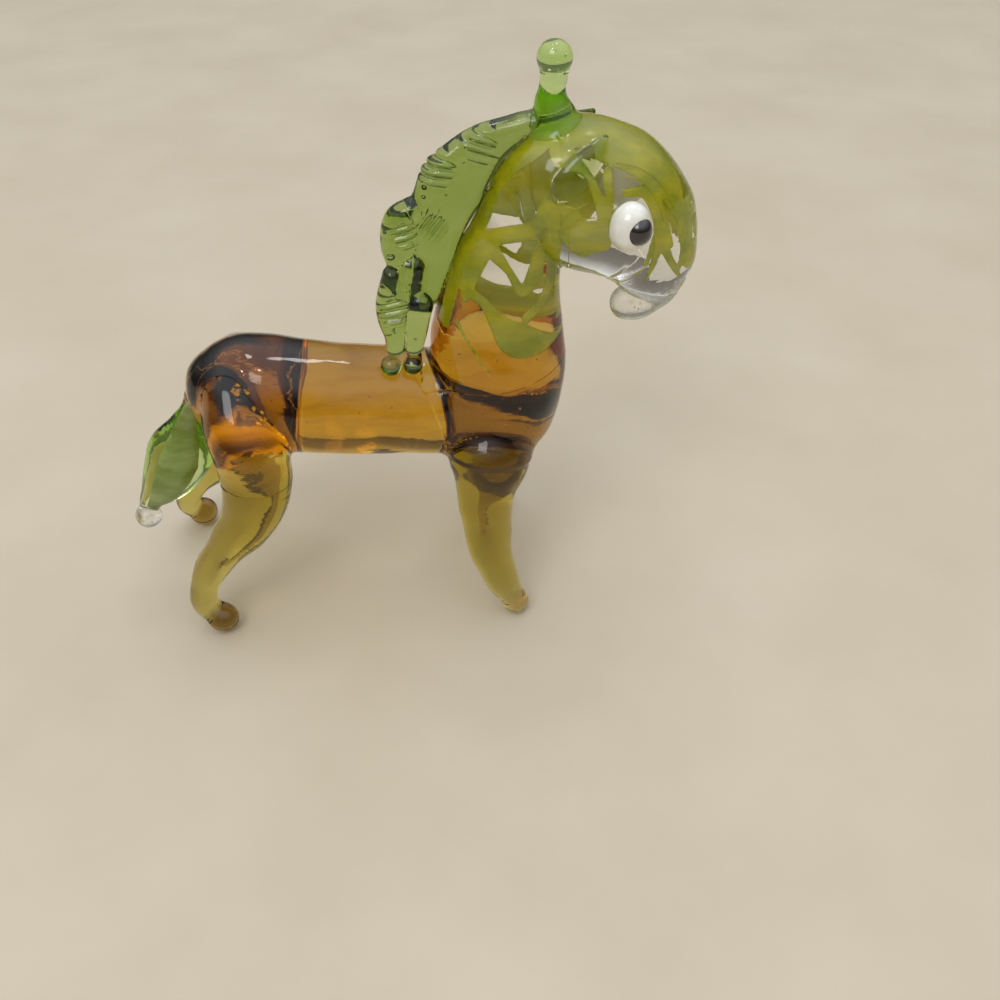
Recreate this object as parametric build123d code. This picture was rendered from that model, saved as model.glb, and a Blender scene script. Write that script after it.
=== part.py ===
from build123d import *
import os
from math import atan2, cos, degrees, radians, sin, sqrt

os.makedirs("parts", exist_ok=True)

# Glass horse figurine, worked over a flame out of separate gathers of coloured glass.
# Millimetres. +X runs towards the head, +Y to the horse's left, +Z up.

# ---- Driving dimensions ----
body_length = 30.2        # haunch centre to chest centre
haunch_height = 30.0      # haunch centre above the table
chest_height = 27.5       # chest centre above the table
haunch_radius = 7.5
barrel_radius = 6.9
chest_radius = 8.3
neck_height = 21.2        # collar of the chest to the middle of the poll
neck_radius = 7.9         # at its widest, just above the chest
throat_radius = 5.6
head_radius = 8.6
head_half_width = 7.3
muzzle_radius = 2.95      # where the curl starts
curl_bead_radius = 2.05
casing_wall = 1.2         # clear glass laid over the coloured neck and head
strand_radius = 0.42
eye_radius = 2.35
pupil_radius = 1.35
ear_radius = 2.1
forelock_radius = 1.4     # at the neck of the topknot
forelock_bead_radius = 1.85
forelock_height = 7.4     # poll to the middle of the bead
mane_thickness = 3.4
stance_width = 22.4       # between the left and right feet
hind_stagger = 5.6        # the left hind foot stands this far behind the right one
thigh_radius = 4.5
hock_radius = 1.95
forearm_radius = 5.3
pastern_radius = 2.1
hoof_radius = 2.0
hoof_flat = 0.15          # ground off each foot so that the horse stands firmly
tail_radius = 4.1
tail_length = 18.5        # dock to just above the middle of the bead, measured downwards
tail_bead_radius = 1.75
ribbon_share = 0.5        # width of the coloured ribbon as a share of the tail's
hip_spread = 5.0          # middle of the horse to the top of each leg's own line

SIDES = {"right": -1, "left": 1}
DOME_STEPS = (0.5, 0.85, 0.98)
SPAN_STEPS = 2            # stations made for each one given
SKULL_STEPS = 4           # stations from the skull's middle to each end
SKULL_TURN = 80           # degrees round to the last of them
SEAM_TURN = 130           # turns a round form about its axis, so that no two seams of the surface meet
STIFLE = 3                # the station of a hind leg where thigh and shank part
NECK_FLAT = 0.94          # widths across the horse as shares of those along it
MUZZLE_FLAT = 0.9
EAR_FLAT = 0.62
HIND_LEG_FLAT = 0.9
FORELEG_FLAT = 0.82
TAIL_FLAT = 0.72
RIBBON_FLAT = 0.4

haunch_x = -body_length / 2
chest_x = body_length / 2
collar_z = chest_height + 0.72 * chest_radius
dome_radius = neck_radius - casing_wall - 1.2
dock_x = haunch_x - 6.6
neck_arch = 7.3           # how far the poll stands ahead of the chest
poll = Vector(chest_x + neck_arch, 0, collar_z + neck_height)
poll_radius = throat_radius + 1.2
head_centre = Vector(poll.X + 5.4, 0, poll.Z - 0.9)
topknot_lean = 1.2        # the topknot leans back from the poll
hind_foot_back = 7.4      # right hind foot, behind the haunch's centre
front_foot_forward = 1.7
tail_bead_back = 17.2     # tail bead, behind the haunch's centre
tail_bead_height = haunch_height - tail_length - 0.5
foot_y = stance_width / 2
front_hoof_radius = 0.9 * hoof_radius


# ---- Shapes that every gather is made from ----
def station(x, y, z, radius):
    return Vector(x, y, z), radius


def section(centre, along, across, sideways):
    """Ellipse square to the path: across lies in the profile, sideways to left and right."""
    return (Plane(centre, (along.Z, 0, -along.X), along) * Ellipse(across, sideways)).wire()


def dome(centre, outward, radius, depth):
    """Stations that round off an end."""
    return [(centre + outward * depth * k, radius * sqrt(1 - k * k)) for k in DOME_STEPS]


def smoothed(path):
    """More stations on a smooth curve through the given ones."""
    fine = []
    for i in range(len(path) - 1):
        p0, p1, p2, p3 = (path[min(max(i + k, 0), len(path) - 1)] for k in (-1, 0, 1, 2))
        for step in range(SPAN_STEPS):
            t = step / SPAN_STEPS
            weights = (-t / 2 + t**2 - t**3 / 2, 1 - 2.5 * t**2 + 1.5 * t**3,
                       t / 2 + 2 * t**2 - 1.5 * t**3, (t**3 - t**2) / 2)
            centre = Vector(0, 0, 0)
            radius = 0.0
            for weight, (place, width) in zip(weights, (p0, p1, p2, p3)):
                centre += place * weight
                radius += width * weight
            fine.append((centre, radius))
    return fine + [path[-1]]


def gather(path, flat=1.0, start=0.0, end=0.0):
    """Rod of glass through stations, flat times as wide as deep, rounded where start or end is given."""
    backward = (path[0][0] - path[1][0]).normalized()
    forward = (path[-1][0] - path[-2][0]).normalized()
    rounded_start = dome(path[0][0], backward, path[0][1], start)[::-1] if start else []
    rounded_end = dome(path[-1][0], forward, path[-1][1], end) if end else []
    path = rounded_start + smoothed(path) + rounded_end
    wires = []
    for i, (centre, radius) in enumerate(path):
        before = path[max(i - 1, 0)][0]
        after = path[min(i + 1, len(path) - 1)][0]
        wires.append(section(centre, (after - before).normalized(), radius, radius * flat))
    return Solid.make_loft(wires, ruled=True)


def bead(centre, radius):
    return Pos(*centre) * Sphere(radius)


def between(a, b, share):
    return a + (b - a) * share


# ---- Body ----
def haunch_and_barrel():
    """Round rump and long barrel, turned about the line from the haunch to the chest."""
    rump = -0.1 * haunch_radius
    middle = body_length / 2
    near_chest = barrel_radius - 0.3
    loin_radius = barrel_radius - 0.1
    flank = (haunch_radius + barrel_radius) / 2 - 0.05
    outline = [
        quarter_round((rump - haunch_radius, 0), (rump, 0), (rump, haunch_radius)),
        ThreePointArc((rump, haunch_radius), (middle / 2, flank), (middle, barrel_radius)),
        ThreePointArc((middle, barrel_radius), (1.5 * middle, loin_radius), (body_length, near_chest)),
        Line((body_length, near_chest), (body_length, 0)),
        Line((body_length, 0), (rump - haunch_radius, 0)),
    ]
    turned = revolve(make_face(Plane.XY * (Curve() + outline)), Axis.X)
    droop = degrees(atan2(haunch_height - chest_height, body_length))
    return Pos(haunch_x, 0, haunch_height) * Rot(0, droop, 0) * Rot(SEAM_TURN, 0, 0) * turned


def quarter_round(start, centre, end):
    """Arc of a quarter circle from start to end, about a centre on the axis it will be turned about."""
    half = sqrt(0.5)
    x = centre[0] + half * (start[0] + end[0] - 2 * centre[0])
    y = centre[1] + half * (start[1] + end[1] - 2 * centre[1])
    return ThreePointArc(start, (x, y), end)


def chest_gather():
    """Round chest with a flat collar, and the amber dome inside the neck, turned about the chest's axis."""
    waist_z = chest_height + 0.5
    rim = 0.985 * chest_radius
    shoulder_z = collar_z + 1.6
    bottom_z = waist_z - chest_radius
    peak_z = shoulder_z + dome_radius
    outline = [
        quarter_round((0, bottom_z), (0, waist_z), (chest_radius, waist_z)),
        Line((chest_radius, waist_z), (rim, collar_z)),
        Line((rim, collar_z), (dome_radius, collar_z)),
        Line((dome_radius, collar_z), (dome_radius, shoulder_z)),
        quarter_round((dome_radius, shoulder_z), (0, shoulder_z), (0, peak_z)),
        Line((0, peak_z), (0, bottom_z)),
    ]
    turned = revolve(make_face(Plane.XZ * (Curve() + outline)), Axis.Z)
    return Pos(chest_x, 0, 0) * Rot(0, 0, SEAM_TURN) * turned


# ---- Neck and head ----
# Neck: forward of the chest's middle, up from the collar in neck heights, share of the way to the throat's radius.
NECK = [(0.2, 0.18, 0.0), (0.5, 0.37, 0.35), (1.2, 0.57, 0.7), (2.4, 0.74, 1.0), (4.4, 0.9, 0.91)]
# Muzzle: forward and up from the head's middle in head radii, radius.
MUZZLE = [(0.26, -0.26, 6.7), (0.43, -0.41, 6.3), (0.65, -0.84, 4.9), (0.745, -1.08, 3.8), (0.77, -1.22, 3.1)]
# Ear: forward and up in head radii, share of the ear's radius, lift off the skull.
EAR = [(-0.68, 0.36, 0.75, 0.05), (-0.52, 0.54, 1.0, 0.25), (-0.36, 0.74, 0.75, 0.45), (-0.24, 0.88, 0.2, 0.6)]


def neck_gather(inset=0.0):
    """The arched neck; inset gives the core inside the clear casing."""
    overrun = 1.5 if inset else 0.0
    path = [station(chest_x + 0.2, 0, collar_z - overrun, neck_radius - inset)]
    for forward, height, narrowing in NECK:
        radius = between(neck_radius, throat_radius, narrowing)
        path.append(station(chest_x + forward, 0, collar_z + height * neck_height, radius - inset))
    path.append(station(poll.X, 0, poll.Z, poll_radius - inset))
    return gather(path, flat=NECK_FLAT, end=1.5)


def head_point(forward, up):
    """Point in the profile, in head radii from the middle of the head."""
    return head_centre + Vector(forward, 0, up) * head_radius


def skull_side(forward, up):
    """How far the skull's side stands out from the middle plane, at a point of the profile in head radii."""
    return head_half_width * sqrt(1 - forward**2 - up**2)


def skull_gather(inset=0.0):
    """Round head, a little narrower than it is high, with its ends hidden at the poll and in the muzzle."""
    height = head_radius - inset
    width = head_half_width - inset
    towards_muzzle = Vector(0.52, 0, -0.85).normalized()
    path = []
    for step in range(-SKULL_STEPS, SKULL_STEPS + 1):
        turn = radians(SKULL_TURN * step / SKULL_STEPS)
        path.append((head_centre + towards_muzzle * height * sin(turn), height * cos(turn)))
    return gather(path, flat=width / height)


def muzzle_gather():
    """Muzzle drawn down out of the front of the head."""
    path = [(head_point(forward, up), radius) for forward, up, radius in MUZZLE]
    return gather(path, flat=MUZZLE_FLAT)


def muzzle_curl():
    """The end of the muzzle, drawn out and curled back under the jaw to a bead."""
    curl = [
        (head_point(0.765, -1.14), muzzle_radius),
        (head_point(0.76, -1.26), muzzle_radius),
        (head_point(0.685, -1.42), 0.78 * muzzle_radius),
        (head_point(0.535, -1.54), 0.68 * muzzle_radius),
        (head_point(0.42, -1.57), 0.66 * muzzle_radius),
    ]
    return gather(curl) + bead(head_point(0.4, -1.57), curl_bead_radius)


def eye(side):
    """White bead half sunk in the side of the head, and a black dot pressed on it, looking a little forwards."""
    forward, up = 0.13, -0.03
    surface = head_point(forward, up) + Vector(0, side * skull_side(forward, up), 0)
    white = surface - Vector(0, side * 0.3 * eye_radius, 0)
    pupil = white + Vector(0.32, side * 0.62, 0) * eye_radius
    return bead(white, eye_radius), bead(pupil, pupil_radius)


def ear(side):
    """Flattened leaf of green glass, laid on the side of the poll with its tip forward and up."""
    path = []
    for forward, up, share, lift in EAR:
        y = side * (skull_side(forward, up) + lift)
        path.append((head_point(forward, up) + Vector(0, y, 0), share * ear_radius))
    return gather(path, flat=EAR_FLAT, start=0.5 * ear_radius, end=0.15 * ear_radius)


def forelock_cone():
    """Topknot drawn up from the poll."""
    crest = poll + Vector(0, 0, poll_radius)
    path = [
        (crest + Vector(0, 0, -1.4), 2.3 * forelock_radius),
        (crest + Vector(-0.6, 0, 0.18 * forelock_height), 1.6 * forelock_radius),
        (crest + Vector(-1.3, 0, 0.45 * forelock_height), 1.28 * forelock_radius),
        (crest + Vector(-topknot_lean, 0, 0.7 * forelock_height), forelock_radius),
        (crest + Vector(-topknot_lean, 0, 0.85 * forelock_height), forelock_radius),
    ]
    return gather(path)


# ---- Coloured strands laid on the core and buried under the clear casing ----
def strand(start, middle, end):
    """Round strand of coloured glass bent through three places."""
    line = Edge.make_three_point_arc(start, middle, end)
    return sweep(Plane(line @ 0, z_dir=line % 0) * Circle(strand_radius), path=line)


def neck_place(side, height, turn):
    """Place on the neck's core: height in neck heights, turn in degrees from the back edge round to the throat."""
    narrowing = min(max((height - 0.18) / 0.56, 0), 1)
    radius = between(neck_radius, throat_radius, narrowing) - casing_wall
    lean = 0.2 + 3.4 * narrowing**2.4
    across = -cos(radians(turn)) * radius
    out = side * NECK_FLAT * radius * sin(radians(turn))
    return Vector(chest_x + lean + across, out, collar_z + height * neck_height)


def head_place(side, forward, up):
    """Place on the side of the head's core, forwards and upwards in head radii."""
    y = side * (skull_side(forward, up) - casing_wall)
    return head_point(forward, up) + Vector(0, y, 0)


# Strands: places (height, turn) on the neck's core and (forwards, upwards) on the head's.
NECK_STRANDS = [
    [(0.1, 30), (0.3, 42), (0.5, 50)],
    [(0.1, 62), (0.36, 66), (0.62, 66)],
    [(0.1, 100), (0.34, 96), (0.58, 88)],
    [(0.1, 140), (0.3, 128), (0.5, 112)],
]
HEAD_STRANDS = [
    [(-0.66, -0.3), (-0.4, 0.0), (-0.2, 0.4)],
    [(-0.5, -0.5), (-0.2, -0.24), (0.0, 0.2)],
    [(0.1, 0.66), (0.42, 0.44), (0.62, 0.1)],
    [(-0.24, -0.66), (0.04, -0.5), (0.36, -0.42)],
]


# ---- Mane ----
def pressed(path):
    """Strip of the mane, pressed flat while it was hot."""
    widest = max(radius for centre, radius in path)
    return gather(path, flat=mane_thickness / (2 * widest), start=0.4 * widest, end=0.4 * widest)


def mane_point(back, up, out):
    """Place behind the neck: back from the chest's middle, up from the collar in neck heights, out to the right."""
    return Vector(chest_x - back, -out, collar_z + up * neck_height)


# Mane: back, up and out as in mane_point, then the strip's radius in the profile.
MANE = {
    "mane_crest": [(-4.0, 1.3, 0, 1.7), (-0.8, 1.24, 0, 2.6), (2.8, 1.11, 0, 3.3), (5.2, 0.94, 0, 3.9),
                   (6.1, 0.76, 0, 3.3), (6.9, 0.58, 0, 2.6), (7.8, 0.4, 0.3, 2.0), (8.2, 0.25, 0.8, 1.5)],
    "mane_lobe_upper": [(9.4, 0.93, 0, 1.9), (10.4, 0.79, 0, 3.0), (10.6, 0.64, 0, 2.6)],
    "mane_lobe_middle": [(10.2, 0.59, 0.3, 1.9), (10.2, 0.48, 1.0, 2.1), (9.7, 0.345, 2.0, 1.9)],
    "mane_lobe_lower": [(12.2, 0.48, 0.5, 1.6), (12.4, 0.355, 1.2, 2.1), (12.1, 0.24, 2.0, 1.9),
                        (12.4, 0.16, 2.8, 1.3)],
    "mane_root": [(8.9, 0.35, 1.8, 1.4), (9.6, 0.23, 2.6, 1.5), (10.1, 0.14, 3.2, 1.2)],
}
# Drops: back from the chest's middle, out to the right, radius.
MANE_DROPS = [(12.9, 3.5, 1.25), (10.3, 3.3, 1.2)]


def mane_drop(back, out, radius):
    """Bead at the end of a lobe, resting on the shoulder of the barrel."""
    x = chest_x - back
    axis_z = between(chest_height, haunch_height, back / body_length)
    shoulder = sqrt((barrel_radius + 0.1) ** 2 - out**2)
    return bead((x, -out, axis_z + shoulder + 0.45 * radius), radius)


# ---- Legs and tail ----
# Legs: forward, height and outward shares, share of the leg's radius, and share of the stagger behind.
HIND_LEG = [(-1.9, 1.15, 0.0, 0.73, 0), (-1.8, 1.0, 0.15, 0.93, 0), (-0.6, 0.87, 0.33, 1.02, 0),
            (-0.3, 0.7, 0.5, 0.94, 0), (-2.1, 0.555, 0.62, 0.79, 0.02), (-5.1, 0.435, 0.74, 0.58, 0.12),
            (-8.2, 0.29, 0.85, 0.45, 0.33), (-9.4, 0.155, 0.93, 0.4, 0.75), (-8.9, 0.085, 0.98, 0.4, 0.95)]
FORELEG = [(-0.9, 1.14, 0.0, 0.9), (-1.1, 0.98, 0.06, 1.0), (-1.7, 0.835, 0.2, 0.78), (-2.0, 0.66, 0.4, 0.65),
           (-1.6, 0.45, 0.62, 0.54), (-0.4, 0.26, 0.83, 0.44), (0.9, 0.13, 0.96, 0.36)]


def hind_leg(side):
    """Thigh and shank, parted at the stifle, and the ball foot."""
    behind = hind_stagger if side == SIDES["left"] else 0.0
    path = []
    for forward, height, out, radius, lag in HIND_LEG:
        x = haunch_x + forward - behind * lag
        y = side * between(hip_spread, foot_y, out)
        path.append(station(x, y, height * haunch_height, radius * thigh_radius))
    foot = Vector(haunch_x - hind_foot_back - behind, side * foot_y, hoof_radius - hoof_flat)
    path.append((between(path[-1][0], foot, 0.75), hock_radius * 0.9))
    leg = gather(path, flat=HIND_LEG_FLAT)
    seam = Plane(path[STIFLE][0], z_dir=(0, 0, 1))
    thigh = split(leg, bisect_by=seam, keep=Keep.TOP)
    shank = split(leg, bisect_by=seam, keep=Keep.BOTTOM)
    return thigh, shank, foot_ball(foot, hoof_radius)


def foreleg(side):
    """Foreleg drawn out of the chest, and the ball foot."""
    elbow = chest_height - 5
    path = []
    for forward, height, out, radius in FORELEG:
        y = side * between(hip_spread, foot_y, out)
        path.append(station(chest_x + forward, y, height * elbow, radius * forearm_radius))
    foot = Vector(chest_x + front_foot_forward, side * foot_y, front_hoof_radius - hoof_flat)
    path.append((between(path[-1][0], foot, 0.8), pastern_radius * 0.75))
    return gather(path, flat=FORELEG_FLAT), foot_ball(foot, front_hoof_radius)


def foot_ball(centre, radius):
    """Melted ball at the end of a leg, with its base ground flat."""
    ground = Pos(centre.X, centre.Y, -radius) * Box(4 * radius, 4 * radius, 2 * radius)
    return bead(centre, radius) - ground


# Tail: back from the dock, down in tail lengths, share of the tail's radius.
TAIL = [(0.0, 0.0, 0.15), (1.7, 0.1, 0.32), (3.2, 0.31, 0.66), (4.6, 0.52, 1.0), (7.0, 0.75, 0.7),
        (9.6, 0.94, 0.38)]


def tail_gather(share=1.0, flat=TAIL_FLAT):
    """Flat leaf of glass hanging from the dock; share narrows it to the ribbon inside."""
    path = []
    for back, down, width in TAIL:
        height = haunch_height - down * tail_length
        path.append(station(dock_x - back, 0, height, width * tail_radius * share))
    return gather(path, flat=flat)


# ---- Assembly: each gather is cut by the ones it was melted onto ----
def parted(shape, *onto):
    for other in onto:
        shape = shape - other
    return shape


nodes = {}
chest = chest_gather()
skull = skull_gather()
skull_inner = skull_gather(casing_wall)
muzzle = parted(muzzle_gather(), skull)
neck = neck_gather()
neck_inner = neck_gather(casing_wall)
torso = haunch_and_barrel()

neck_strands = []
head_strands = []
for side in SIDES.values():
    for places in NECK_STRANDS:
        neck_strands.append(strand(*[neck_place(side, height, turn) for height, turn in places]))
    for places in HEAD_STRANDS:
        head_strands.append(strand(*[head_place(side, forward, up) for forward, up in places]))

nodes["torso"] = [parted(torso, chest)]
nodes["chest"] = [chest]
nodes["neck_core"] = [parted(neck_inner, chest, torso, skull, *neck_strands)]
nodes["neck_casing"] = [parted(neck, neck_inner, chest, torso, skull, *neck_strands)]
nodes["neck_strands"] = neck_strands
nodes["head_core"] = [parted(skull_inner, *head_strands)]
nodes["head_casing"] = [parted(skull, skull_inner, *head_strands)]
nodes["head_strands"] = head_strands
nodes["muzzle"] = [muzzle]
nodes["muzzle_curl"] = [parted(muzzle_curl(), muzzle_gather())]

topknot_tip = poll + Vector(-topknot_lean, 0, poll_radius + forelock_height)
topknot_bead = bead(topknot_tip, forelock_bead_radius)
topknot = parted(forelock_cone(), neck, skull, topknot_bead)
nodes["forelock"] = [topknot]
nodes["forelock_bead"] = [topknot_bead]

mane_before = [neck, torso, chest, topknot]
drops = [mane_drop(*place) for place in MANE_DROPS]
for name, places in MANE.items():
    strip = pressed([(mane_point(back, up, out), radius) for back, up, out, radius in places])
    nodes[name] = [parted(strip, *mane_before, *drops)]
    mane_before.append(strip)
nodes["mane_drops"] = [parted(drop, torso, chest) for drop in drops]

tail = tail_gather()
ribbon = tail_gather(ribbon_share, flat=RIBBON_FLAT)
tail_bead = bead((haunch_x - tail_bead_back, 0, tail_bead_height), tail_bead_radius)
nodes["tail_casing"] = [parted(tail, torso, ribbon, tail_bead)]
nodes["tail_ribbon"] = [parted(ribbon, torso, tail_bead)]
nodes["tail_bead"] = [tail_bead]

for name, side in SIDES.items():
    white, pupil = eye(side)
    nodes[f"eye_white_{name}"] = [parted(white, pupil, skull)]
    nodes[f"pupil_{name}"] = [parted(pupil, skull)]
    nodes[f"ear_{name}"] = [parted(ear(side), skull, neck, topknot)]
    thigh, shank, hind_foot = hind_leg(side)
    nodes[f"hind_thigh_{name}"] = [parted(thigh, torso)]
    nodes[f"hind_shank_{name}"] = [parted(shank, hind_foot)]
    nodes[f"hind_foot_{name}"] = [hind_foot]
    limb, front_foot = foreleg(side)
    nodes[f"foreleg_{name}"] = [parted(limb, chest, torso, front_foot)]
    nodes[f"front_foot_{name}"] = [front_foot]

# ---- The origin is on the table, under the middle of the horse ----
every_piece = [piece for pieces in nodes.values() for piece in pieces]
whole = Compound(children=[solid for piece in every_piece for solid in piece.solids()])
middle = whole.bounding_box().center()
to_origin = Location((-middle.X, -middle.Y, 0))
for name, pieces in nodes.items():
    solids = [solid.moved(to_origin) for piece in pieces for solid in piece.solids()]
    export_step(solids[0] if len(solids) == 1 else Compound(solids), f"parts/{name}.step")
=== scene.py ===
import math

import bpy
import numpy as np
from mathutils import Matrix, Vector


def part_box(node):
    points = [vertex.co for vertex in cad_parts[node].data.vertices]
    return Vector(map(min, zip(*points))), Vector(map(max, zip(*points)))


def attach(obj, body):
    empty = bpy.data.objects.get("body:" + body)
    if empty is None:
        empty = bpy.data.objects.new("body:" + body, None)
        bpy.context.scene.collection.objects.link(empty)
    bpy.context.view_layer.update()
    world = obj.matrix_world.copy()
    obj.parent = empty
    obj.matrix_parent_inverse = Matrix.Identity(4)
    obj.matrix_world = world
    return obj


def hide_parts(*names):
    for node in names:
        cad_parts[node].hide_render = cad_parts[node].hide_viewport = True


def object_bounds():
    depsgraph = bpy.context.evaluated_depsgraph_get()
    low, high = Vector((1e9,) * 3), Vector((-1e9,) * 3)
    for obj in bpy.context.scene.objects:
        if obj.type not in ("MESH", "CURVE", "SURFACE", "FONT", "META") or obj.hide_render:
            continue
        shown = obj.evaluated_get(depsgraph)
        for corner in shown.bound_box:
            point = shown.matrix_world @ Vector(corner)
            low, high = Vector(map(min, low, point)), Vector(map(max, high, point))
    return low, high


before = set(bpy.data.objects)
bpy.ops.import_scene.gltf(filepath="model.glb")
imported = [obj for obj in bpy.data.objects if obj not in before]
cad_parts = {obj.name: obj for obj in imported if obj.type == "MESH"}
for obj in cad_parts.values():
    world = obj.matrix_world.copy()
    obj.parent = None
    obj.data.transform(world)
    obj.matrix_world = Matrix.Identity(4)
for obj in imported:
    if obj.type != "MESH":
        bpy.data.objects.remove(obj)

import openvdb
from mathutils import Vector

CAD_BOX = [list(corner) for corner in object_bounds()]

# Shapes are worked out in millimetres and written to the meshes in metres.
MM = 0.001
FAR = 1e3

# How closely the glass is meshed, mm
BODY_MESH = 0.36
FINE_MESH = 0.22
BEAD_MESH = 0.17
COARSE_STEPS = 4

# How glass runs together where two gathers are fused, mm
BODY_FLOW = 1.5
MANE_FLOW = 0.35
BEAD_FLOW = 0.6
SEAM_GAP = 0.04
COLLAR_FLOW = 1.2
COLLAR_REACH = 3.0       # past this the chest's own glass ends where it is nearer than the neck's
COLLAR_SLOPE = 0.16      # the seam at the collar rises this much forwards
DOME_HALVES = (6.6, 6.2, 7.2)   # amber dome inside the neck
DOME_RADIUS = 6.4

MANE_THICKNESS = 3.2
GROOVE = 0.17            # half the depth of the mane's pressed grooves
GROOVE_PITCH = 1.05

SPINE_STEPS = 7
BLOCK = 20000            # points measured at a time


# ---------------------------------------------------------------- places taken from the frame

def low(node):
    return np.array(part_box(node)[0]) / MM


def high(node):
    return np.array(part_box(node)[1]) / MM


def middle(node):
    return (low(node) + high(node)) / 2


TORSO = middle("torso")
CHEST = middle("chest")
HEAD = middle("head_casing")
COLLAR = low("neck_casing")[2]
STIFLE = low("hind_thigh_right")[2]
TAIL = middle("tail_casing")
SIDES = (("right", -1.0), ("left", 1.0))


# ---------------------------------------------------------------- signed distances

def resampled(stations):
    """The stations of a spine with smooth ones between them, by Catmull-Rom."""
    s = np.array(stations, float)
    s = np.vstack([2 * s[0] - s[1], s, 2 * s[-1] - s[-2]])
    out = []
    for a, b, c, d in zip(s[:-3], s[1:-2], s[2:-1], s[3:]):
        for t in np.arange(SPINE_STEPS) / SPINE_STEPS:
            out.append(0.5 * (2 * b + (c - a) * t + (2 * a - 5 * b + 4 * c - d) * t ** 2
                              + (3 * b - a - 3 * c + d) * t ** 3))
    out.append(s[-2])
    return np.array(out)


class Rod:
    """A rod of glass: round stations (x, y, z, radius) along a smooth spine, pressed flat across y by a share
    of its width."""

    def __init__(self, stations, flat=1.0):
        self.line = resampled(stations) if len(stations) > 2 else np.array(stations, float)
        self.flat = flat
        self.low = (self.line[:, :3] - self.line[:, 3:4]).min(0)
        self.high = (self.line[:, :3] + self.line[:, 3:4]).max(0)

    def __call__(self, p):
        return np.concatenate([self.block(p[i:i + BLOCK]) for i in range(0, len(p), BLOCK)])

    def block(self, p):
        squash = np.array([1, 1 / self.flat, 1])
        q, c = p * squash, self.line[:, :3] * squash
        apart = (q * q).sum(1)[:, None] + (c * c).sum(1)[None] - 2 * q @ c.T
        nearest = (np.sqrt(np.maximum(apart, 0)) - self.line[:, 3]).argmin(1)
        best = np.full(len(p), FAR)
        for back in (1, 0):
            i = np.clip(nearest - back, 0, len(c) - 2)
            d = c[i + 1] - c[i]
            size = np.maximum((d * d).sum(1), 1e-12)
            v = q - c[i]
            t = np.clip((v * d).sum(1) / size, 0, 1)
            v = v - t[:, None] * d
            away = np.sqrt((v * v).sum(1)) - (self.line[i, 3] + t * (self.line[i + 1, 3] - self.line[i, 3]))
            best = np.minimum(best, away)
        return best


def ball(centre, radius):
    x, y, z = centre
    return Rod([(x, y, z, radius), (x + 1e-3, y, z, radius)])


def flowed(a, b, k):
    """Two distances joined as hot glass joins, with a fillet about k across."""
    h = np.clip(0.5 + 0.5 * (b - a) / k, 0, 1)
    return b + (a - b) * h - k * h * (1 - h)


def ripple(p):
    """The slight unevenness that a torch leaves, mm."""
    x, y, z = p[:, 0], p[:, 1], p[:, 2]
    return (0.045 * np.sin(0.55 * x + 0.9 * z + 0.3 * y) + 0.035 * np.sin(0.83 * z - 0.47 * x + 1.3)
            + 0.02 * np.sin(1.35 * x + 0.6 * y + 2.1) + 0.018 * np.sin(1.6 * z + 0.9 * y + 0.4))


# ---------------------------------------------------------------- the gathers

def spine(anchor, stations):
    """Stations given as (x, z, radius) in the middle plane, or (x, y, z, radius), from an anchor."""
    full = [(s[0], 0.0, s[1], s[2]) if len(s) == 3 else s for s in stations]
    return [(anchor[0] + x, anchor[1] + y, anchor[2] + z, r) for x, y, z, r in full]


def trunk():
    """The amber gather of haunch and barrel, and the chest gather that it is fused to."""
    barrel = Rod(spine(TORSO, [
        (-11.6, 1.6, 5.6), (-8.9, 0.8, 7.3), (-3.4, -0.2, 7.2), (2.7, -1.0, 7.0),
        (9.0, -1.5, 6.9), (14.1, -1.9, 6.8), (20.0, -2.0, 6.8)]))
    breast = Rod(spine(CHEST, [(0.1, -2.5, 7.9), (0.3, 0.9, 8.2), (0.4, 3.9, 8.0)]))
    return lambda p: flowed(barrel(p), breast(p), BODY_FLOW)


NECK_LINE = [
    (-12.5, -20.3, 8.1), (-12.5, -16.5, 8.0), (-12.2, -12.4, 7.2), (-11.5, -8.2, 6.4),
    (-10.6, -5.4, 5.6), (-9.4, -2.5, 5.4), (-7.6, 0.0, 6.0), (-4.9, 1.3, 7.5)]
HEAD_LINE = [
    (-2.3, 0.5, 8.5), (0.6, -0.8, 8.2), (3.7, -3.5, 6.8), (5.6, -7.2, 5.1), (6.5, -10.8, 3.0)]
CURL_LINE = [(5.9, -12.2, 2.4), (4.6, -13.2, 2.3), (3.2, -13.4, 2.1)]


def arch():
    """The clear gather that rises as the neck and turns over into head, muzzle and the curl under the chin."""
    return Rod(spine(HEAD, NECK_LINE + HEAD_LINE + CURL_LINE), flat=0.88)


HIND_LINE = [  # forward of the foot, outward of it, height, radius, share of the stagger
    (5.4, -6.6, 32.4, 3.0, 0.0), (5.8, -5.4, 29.6, 4.0, 0.0), (6.9, -4.2, 26.3, 4.6, 0.0),
    (7.1, -3.2, 21.3, 4.2, 0.02), (5.3, -2.5, 16.6, 3.5, 0.12), (2.3, -1.8, 13.1, 2.6, 0.33),
    (-1.0, -1.2, 8.6, 2.0, 0.75), (-2.1, -0.7, 4.6, 1.7, 0.95), (-0.6, 0.0, 2.3, 1.5, 1.0)]
FORE_LINE = [
    (-2.9, -6.2, 22.5, 5.4, 0.0), (-3.4, -5.2, 18.8, 4.1, 0.0), (-3.7, -3.7, 14.9, 3.4, 0.0),
    (-3.3, -2.2, 10.1, 2.9, 0.0), (-2.1, -0.7, 5.9, 2.3, 0.0), (-0.4, 0.0, 2.6, 1.5, 0.0)]


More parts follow.
